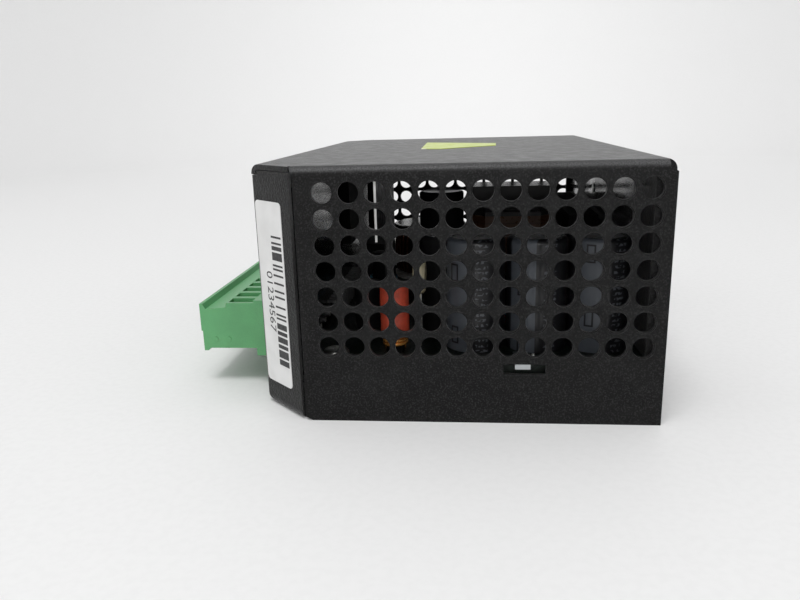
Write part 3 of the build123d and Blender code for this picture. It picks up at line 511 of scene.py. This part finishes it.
for terminal in ("output", "input"):
    finishes[f"{terminal}_plug"] = plug_green
    finishes[f"{terminal}_header"] = plug_green
    finishes[f"{terminal}_plug_contacts"] = clip_metal
    finishes[f"{terminal}_plug_springs"] = spring_steel


def sleeve_finish(node, stripe_angle, mark_z):
    """The printed sleeve of a capacitor, with its stripe turned to stripe_angle."""
    low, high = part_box(node)
    return capacitor_sleeve(f"{node}_film", (low + high) / 2, stripe_angle, (high.x - low.x) / 2, mark_z)


for number, stripe_angle, mark_z in ((1, 43.0, 27.9), (2, 34.0, 25.0), (3, 26.0, 31.8)):
    finishes[f"output_capacitor_{number}_can"] = can_metal
    sleeve = f"output_capacitor_{number}_sleeve"
    finishes[sleeve] = sleeve_finish(sleeve, stripe_angle, mark_z)
finishes["reservoir_capacitor_sleeve"] = sleeve_finish("reservoir_capacitor_sleeve", 70.0, 20.0)
finishes["small_capacitors"] = moulded("sleeve_black", (0.009, 0.009, 0.010), 0.65, specular=0.15)

for name, node in nodes.items():
    node.data.materials.clear()
    node.data.materials.append(finishes[name])


# ---------------------------------------------------------------- pieces built here, in millimetres


class Form:
    """A mesh being built out of tubes, turned profiles and blocks."""

    def __init__(self):
        self.mesh = bmesh.new()

    def skin(self, rows, closed=False):
        """Joins rows of places, each a closed loop, into a skin."""
        rows = [[self.mesh.verts.new(Vector(place) * MM) for place in row] for row in rows]
        pairs = list(zip(rows, rows[1:]))
        if closed:
            pairs.append((rows[-1], rows[0]))
        for low, high in pairs:
            for k in range(len(low)):
                after = (k + 1) % len(low)
                self.mesh.faces.new((low[k], low[after], high[after], high[k]))
        if not closed:
            self.mesh.faces.new(list(reversed(rows[0])))
            self.mesh.faces.new(rows[-1])

    def tube(self, path, radius, sides=8, closed=False):
        """A round tube along a path."""
        path = [Vector(place) for place in path]
        count = len(path)
        rows = []
        side = None
        for k, place in enumerate(path):
            before = path[k - 1] if k or closed else place
            after = path[(k + 1) % count] if k + 1 < count or closed else place
            ahead = (after - before).normalized()
            side = side or ahead.orthogonal()
            side = (side - ahead * side.dot(ahead)).normalized()
            other = ahead.cross(side)
            turns = [math.tau * step / sides for step in range(sides)]
            rows.append([place + radius * (side * math.cos(t) + other * math.sin(t)) for t in turns])
        self.skin(rows, closed)

    def turned(self, place, axis, profile, sides=16):
        """A profile of (distance along the axis, radius) turned around the axis at place."""
        axis = Vector(axis).normalized()
        side = axis.orthogonal().normalized()
        other = axis.cross(side)
        rows = []
        for along, radius in profile:
            centre = Vector(place) + axis * along
            turns = [math.tau * step / sides for step in range(sides)]
            rows.append([centre + radius * (side * math.cos(t) + other * math.sin(t)) for t in turns])
        self.skin(rows)

    def plate(self, corner, width, height, depth):
        """A flat block from one corner and its three edge vectors."""
        corner, width, height, depth = (Vector(v) for v in (corner, width, height, depth))
        base = [corner, corner + width, corner + width + height, corner + height]
        self.skin([base, [place + depth for place in base]])

    def digits(self, text, place, right, up, size):
        """Raised flat digits that start at place."""
        curve = bpy.data.curves.new("digits", "FONT")
        curve.body = text
        curve.size = size
        curve.extrude = 0.012
        writing = bpy.data.objects.new("digits", curve)
        bpy.context.scene.collection.objects.link(writing)
        flat = bpy.data.meshes.new_from_object(writing.evaluated_get(bpy.context.evaluated_depsgraph_get()))
        right, up = Vector(right).normalized(), Vector(up).normalized()
        turn = Matrix((right, up, right.cross(up))).transposed().to_4x4()
        flat.transform(Matrix.Scale(MM, 4) @ Matrix.Translation(Vector(place)) @ turn)
        self.mesh.from_mesh(flat)
        bpy.data.objects.remove(writing)
        bpy.data.meshes.remove(flat)

    def piece(self, name, material, smooth=True):
        """Ends the mesh as a piece that moves with the case."""
        bmesh.ops.recalc_face_normals(self.mesh, faces=self.mesh.faces)
        data = bpy.data.meshes.new(name)
        self.mesh.to_mesh(data)
        self.mesh.free()
        for face in data.polygons:
            face.use_smooth = smooth
        data.materials.append(material)
        piece = bpy.data.objects.new(name, data)
        bpy.context.scene.collection.objects.link(piece)
        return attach(piece, "case")


def box_mm(node):
    """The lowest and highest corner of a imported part, in millimetres."""
    return tuple(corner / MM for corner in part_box(node))


def helix(centre, axis, radius, start, pitch, turns, steps=24):
    """Places along a helix around an axis, measured from the centre."""
    axis = Vector(axis)
    side = axis.orthogonal().normalized()
    other = axis.cross(side)
    places = []
    for k in range(int(turns * steps) + 1):
        turn = math.tau * k / steps
        along = start + pitch * k / steps
        ray = side * math.cos(turn) + other * math.sin(turn)
        places.append(Vector(centre) + axis * along + radius * ray)
    return places


def vent_rims():
    """The coating's bead around each vent hole, rounded outside and turned into the hole."""
    case_low, case_high = box_mm("cover")
    bead = [(2.3, -0.01), (2.13, 0.035), (2.05, 0.04), (2.005, 0.02), (1.995, -0.1), (2.2, -0.1)]
    sides = 28
    rims = Form()
    for end, outward in ((case_low.y, -1), (case_high.y, 1)):
        way = Vector((0, outward, 0))
        for column in range(VENT_COLUMNS):
            for row in range(VENT_ROWS):
                x = VENT_LAST_COLUMN_X - VENT_PITCH * column
                z = VENT_LOWEST_ROW_Z + VENT_PITCH * row
                centre = Vector((x, end, z))
                rows = []
                for step in range(sides):
                    turn = math.tau * step / sides
                    ray = Vector((math.cos(turn), 0, math.sin(turn)))
                    rows.append([centre + ray * radius + way * out for radius, out in bead])
                rims.skin(rows, closed=True)
    rims.piece("vent_rims", coat)


def rod_choke_turns():
    """Close turns of thick wire, with both ends led down to the board."""
    low, high = box_mm("rod_choke_winding")
    centre = (low + high) / 2
    wire = 0.39
    radius = (high.x - low.x) / 2 - wire
    turns = 16.25
    pitch = (high.z - low.z - 2 * wire) / turns
    coil = helix((centre.x, centre.y, low.z + wire), (0, 0, 1), radius, 0, pitch, turns)
    start, end = coil[0], coil[-1]
    board = box_mm("main_board")[1].z
    foot = Vector((start.x, start.y, board))
    form = Form()
    form.tube([foot, foot.lerp(start, 0.6), *coil], wire, 10)
    outside = (end - Vector((centre.x, centre.y, end.z))).normalized() * (wire * 2.1)
    away = Vector((end.x, end.y, low.z - 0.4)) + outside
    bend = end + outside * 0.8 + Vector((0, 0, -0.2))
    form.tube([end, bend, away, Vector((away.x, away.y, board))], wire, 10)
    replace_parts(form.piece("rod_choke_turns", copper), "rod_choke_winding")


def mains_choke_turns():
    """Two windings of thick wire, each passing through the ring core on its own side."""
    low, high = box_mm("mains_choke_core")
    centre = (low + high) / 2
    wire = 0.42
    outer = (high.x - low.x) / 2 + wire
    inner = outer / 2 - 1.55 * wire
    half_height = (high.z - low.z) / 2 + wire
    turns = 12
    steps = 32
    form = Form()
    for first in (-62.0, 118.0):
        path = []
        for k in range(turns * steps + 1):
            loop = math.tau * k / steps
            around = math.radians(first + 124.0 * k / (turns * steps))
            square = max(abs(math.cos(loop)), abs(math.sin(loop))) ** 0.7
            reach = (outer + inner) / 2 + (outer - inner) / 2 * math.cos(loop) / square
            height = half_height * math.sin(loop) / square
            reach = min(max(reach, inner), outer)
            height = min(max(height, -half_height), half_height)
            path.append(centre + Vector((reach * math.cos(around), reach * math.sin(around), height)))
        form.tube(path, wire, 8)
    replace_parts(form.piece("mains_choke_turns", dark_copper), "mains_choke_windings")


def latch_coil_spring():
    """A coil spring with flat end turns for the latch, built at one fixed length."""
    low, high = box_mm("latch_spring")
    centre = (low + high) / 2
    wire = 0.2
    radius = (high.z - low.z) / 2 - wire
    length = high.y - low.y - 2 * wire
    end_share = 0.11
    end_length = 0.05
    path = []
    steps = 24
    turns = 8
    for k in range(turns * steps + 1):
        share = k / (turns * steps)
        first = min(share / end_share, 1.0)
        middle = min(max((share - end_share) / (1 - 2 * end_share), 0.0), 1.0)
        last = max((share + end_share - 1) / end_share, 0.0)
        run = end_length * (first + last) + (1 - 2 * end_length) * middle
        turn = math.tau * k / steps
        x = centre.x + radius * math.cos(turn)
        z = centre.z + radius * math.sin(turn)
        path.append(Vector((x, low.y + wire + length * run, z)))
    form = Form()
    form.tube(path, wire, 8)
    spring = form.piece("latch_coil_spring", spring_steel)
    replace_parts(spring, "latch_spring")
    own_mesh(spring)


def label_print():
    """Bars of mixed widths and a row of plain digits on the label."""
    low, high = box_mm("barcode_label")
    thickness = 0.12
    along = Vector((1, -1, 0)).normalized()
    outward = Vector((-1, -1, 0)).normalized()
    corner = Vector((low.x, high.y - thickness * math.sqrt(0.5), low.z))
    up = Vector((0, 0, 1))
    form = Form()
    module, bar_length, ink, sunk = 0.409, 3.8, 0.035, 0.02
    bars_from, digits_from = 5.45, 2.75
    height, digits_height = 4.4, 24.0
    modules = "31412131213211131412131312111241211213"
    for k, width in enumerate(int(m) for m in modules):
        bar = width * module
        if k % 2 == 0:
            place = corner + along * bars_from + up * height - outward * sunk
            form.plate(place, along * bar_length, up * bar, outward * ink)
        height += bar
    first_digit = corner + along * digits_from + up * digits_height + outward * 0.005
    form.digits("01234567", first_digit, -up, along, 3.2)
    form.piece("label_print", printing_ink("printing_ink", (0.02, 0.02, 0.021)), smooth=False)


def panel_print():
    """Numbers beside the poles and a scale around the trimmer, on the front panel."""
    low, _ = box_mm("base_tray")
    face = low.x - 0.004
    up = Vector((0, -1, 0))
    right = Vector((0, 0, -1))
    form = Form()
    for first, poles in TERMINAL_ROWS:
        for pole in range(poles):
            start = 24.6 if pole < 9 else 25.3
            y = first + (pole + 0.5) * TERMINAL_PITCH + 0.75
            form.digits(str(pole + 1), (face, y, start), right, up, 2.2)
    trimmer_low, trimmer_high = box_mm("trimmer_rotor")
    centre = (trimmer_low + trimmer_high) / 2
    half_turn, ticks = 130, 11
    for step in range(ticks):
        turn = math.radians(half_turn * (2 * step / (ticks - 1) - 1))
        ahead = up * math.cos(turn) + right * math.sin(turn)
        beside = ahead.cross(Vector((1, 0, 0)))
        length = 1.2 if step % 5 == 0 else 0.7
        corner = Vector((face, centre.y, centre.z)) + ahead * 3.0 - beside * 0.1
        form.plate(corner, ahead * length, beside * 0.2, Vector((-0.016, 0, 0)))
    form.piece("panel_print", printing_ink("white_print", (0.55, 0.55, 0.54)), smooth=False)


def solder_joints():
    """Solder that climbs each header pin behind the front board."""
    face = box_mm("front_board")[1].x - 0.02
    cone = [(0, 1.25), (0.12, 1.1), (0.35, 0.85), (0.7, 0.72), (1.0, 0.70)]
    form = Form()
    for first, poles in TERMINAL_ROWS:
        for pole in range(poles):
            y = first + (pole + 0.5) * TERMINAL_PITCH
            form.turned((face, y, HEADER_PIN_Z), (1, 0, 0), cone)
    form.piece("solder_joints", solder)


def small_capacitor_tops():
    """Bare aluminium tops inside the ends of the two taller small capacitors' sleeves."""
    form = Form()
    rim = [(-0.05, 0), (0.10, 0), (0.15, 0.12), (0.10, 0.3), (0.02, 0.45)]
    for x, y, radius, top in ((1.25, -34.0, 3.4, 33.1), (1.0, 3.3, 5.45, 38.7)):
        form.turned((x, y, top), (0, 0, 1), [(up, radius - inset) for up, inset in rim], 40)
    form.piece("small_capacitor_tops", can_metal)


def mains_choke_cap():
    """A thin insulating washer that lies on the mains choke's windings."""
    low, high = box_mm("mains_choke_core")
    centre = (low + high) / 2
    outer = (high.x - low.x) / 2 + 0.9
    washer = [(0, outer), (0.9, outer), (1.2, outer - 0.3), (1.3, outer - 1.0)]
    form = Form()
    form.turned((centre.x, centre.y, high.z + 0.7), (0, 0, 1), washer, 64)
    form.piece("mains_choke_cap", ferrite, smooth=False)


def transformer_band():
    """Tape wound around the transformer's legs and winding, between the bobbin's flanges."""
    low, high = box_mm("transformer_core")
    tape_low, tape_high = box_mm("transformer_tape")
    gap = 0.12
    outline = [
        (low.x - gap, low.y - gap),
        (tape_low.x, tape_low.y - gap),
        (tape_high.x, tape_low.y - gap),
        (high.x + gap, low.y - gap),
        (high.x + gap, high.y + gap),
        (tape_high.x, tape_high.y + gap),
        (tape_low.x, tape_high.y + gap),
        (low.x - gap, high.y + gap),
    ]
    centre = (low + high) / 2
    bottom, top = tape_low.z + 0.1, tape_high.z - 0.1
    rows = []
    for x, y in outline:
        out = Vector((x - centre.x, y - centre.y, 0)).normalized() * 0.15
        inner = Vector((x, y, 0))
        rows.append([inner + Vector((0, 0, bottom)), inner + out + Vector((0, 0, bottom)),
                     inner + out + Vector((0, 0, top)), inner + Vector((0, 0, top))])
    form = Form()
    form.skin(rows, closed=True)
    form.piece("transformer_band", finishes["transformer_tape"], smooth=False)


def front_board_module():
    """A small black module that stands on the front board's inner face."""
    face = box_mm("front_board")[1].x - 0.02
    inner_x, width, height = -23.8, 22.0, 20.0
    form = Form()
    form.plate((face, -2.0, 25.0), (inner_x - face, 0, 0), (0, width, 0), (0, 0, height))
    form.piece("front_board_module", matt_black, smooth=False)


def transistor_clamp():
    """A black bar that presses the power transistors against the heat sink, held by two screws."""
    low, _ = box_mm("power_transistors")
    sink_low, _ = box_mm("heat_sink")
    outer, start, length, bottom, top = low.x - 2.6, -16.0, 50.0, 26.6, 34.4
    screw_z = (bottom + top) / 2
    screw_head = [(0, 2.6), (1.2, 2.6), (1.7, 2.0), (1.75, 0.9), (1.0, 0.8)]
    form = Form()
    form.plate((outer, start, bottom), (sink_low.x + 0.1 - outer, 0, 0), (0, length, 0), (0, 0, top - bottom))
    for y in (-1.5, 19.5):
        form.turned((outer + 0.05, y, screw_z), (-1, 0, 0), screw_head, 24)
    form.piece("transistor_clamp", matt_black, smooth=False)


def lead_ends():
    """Cut lead ends that stand up from the main board behind the near vents."""
    form = Form()
    for x, height in ((43.2, 2.3), (21.1, 2.0)):
        lead = [(0, 0.9), (0.3, 0.55), (height - 0.4, 0.4), (height, 0.3)]
        form.turned((x, LEAD_Y, BOARD_FACE_Z), (0, 0, 1), lead, 12)
    form.piece("lead_ends", tinned)


vent_rims()
rod_choke_turns()
mains_choke_turns()
latch_coil_spring()
label_print()
panel_print()
solder_joints()
small_capacitor_tops()
mains_choke_cap()
transformer_band()
front_board_module()
transistor_clamp()
lead_ends()


# ---------------------------------------------------------------- stage, lights and camera


def studio_sweep():
    """A round pale floor that curves up into a wall on all sides."""
    floor_r, curve_r, wall_top = 0.75, 0.45, 1.5
    rings = [(0.0, 0.0), (floor_r, 0.0)]
    steps = 12
    for step in range(1, steps + 1):
        turn = math.pi / 2 * step / steps
        rings.append((floor_r + curve_r * math.sin(turn), curve_r * (1 - math.cos(turn))))
    rings.append((floor_r + curve_r, wall_top))
    mesh = bmesh.new()
    around = 96
    rows = []
    for radius, height in rings[1:]:
        places = [(radius * math.cos(math.tau * k / around), radius * math.sin(math.tau * k / around), height)
                  for k in range(around)]
        rows.append([mesh.verts.new(place) for place in places])
    mesh.faces.new(rows[0])
    for low, high in zip(rows, rows[1:]):
        for k in range(around):
            mesh.faces.new((low[k], low[(k + 1) % around], high[(k + 1) % around], high[k]))
    bmesh.ops.recalc_face_normals(mesh, faces=mesh.faces)
    data = bpy.data.meshes.new("floor")
    mesh.to_mesh(data)
    mesh.free()
    for face in data.polygons:
        face.use_smooth = len(face.vertices) == 4
    floor = bpy.data.objects.new("floor", data)
    floor.data.materials.append(floor_sweep())
    bpy.context.scene.collection.objects.link(floor)


def soft_light(name, place, target, size, watts):
    """A round soft light aimed at a target, in metres."""
    data = bpy.data.lights.new(name, "AREA")
    data.shape = "DISK"
    data.size = size
    data.energy = watts
    light = bpy.data.objects.new(name, data)
    light.location = place
    light.rotation_euler = (Vector(target) - Vector(place)).to_track_quat("-Z", "Y").to_euler()
    bpy.context.scene.collection.objects.link(light)


def studio_lights():
    """Broad light from above, a weak one in front, one on the backdrop and an even sky."""
    soft_light("overhead", (-0.1, -0.45, 1.15), (0, 0, 0), 0.5, 6.4)
    soft_light("front", (0.06, -0.75, 0.22), (0, 0, 0.02), 0.25, 0.7)
    soft_light("backdrop", (0, 0.72, 0.5), (0, 0.95, 0.0), 0.4, 0.85)
    world = bpy.data.worlds.new("studio")
    bpy.context.scene.world = world
    world.use_nodes = True
    sky = world.node_tree.nodes["Background"]
    sky.inputs["Color"].default_value = (1, 1, 1, 1)
    sky.inputs["Strength"].default_value = 0.82


def camera():
    """The solved camera: place in millimetres and the directions to its right and behind it."""
    data = bpy.data.cameras.new("camera")
    data.sensor_width = 36.0
    data.lens = 31.86
    data.clip_start = 0.005
    eye = bpy.data.objects.new("camera", data)
    right = Vector((0.99517, 0.09445, -0.02661)).normalized()
    back = Vector((0.09812, -0.96159, 0.25636)).normalized()
    up = back.cross(right).normalized()
    turn = Matrix((right, up, back)).transposed().to_4x4()
    eye.matrix_world = Matrix.Translation(Vector((8.67, -192.15, 59.88)) * MM) @ turn
    bpy.context.scene.collection.objects.link(eye)
    bpy.context.scene.camera = eye


studio_sweep()
studio_lights()
camera()
bpy.context.scene.view_settings.view_transform = "Standard"
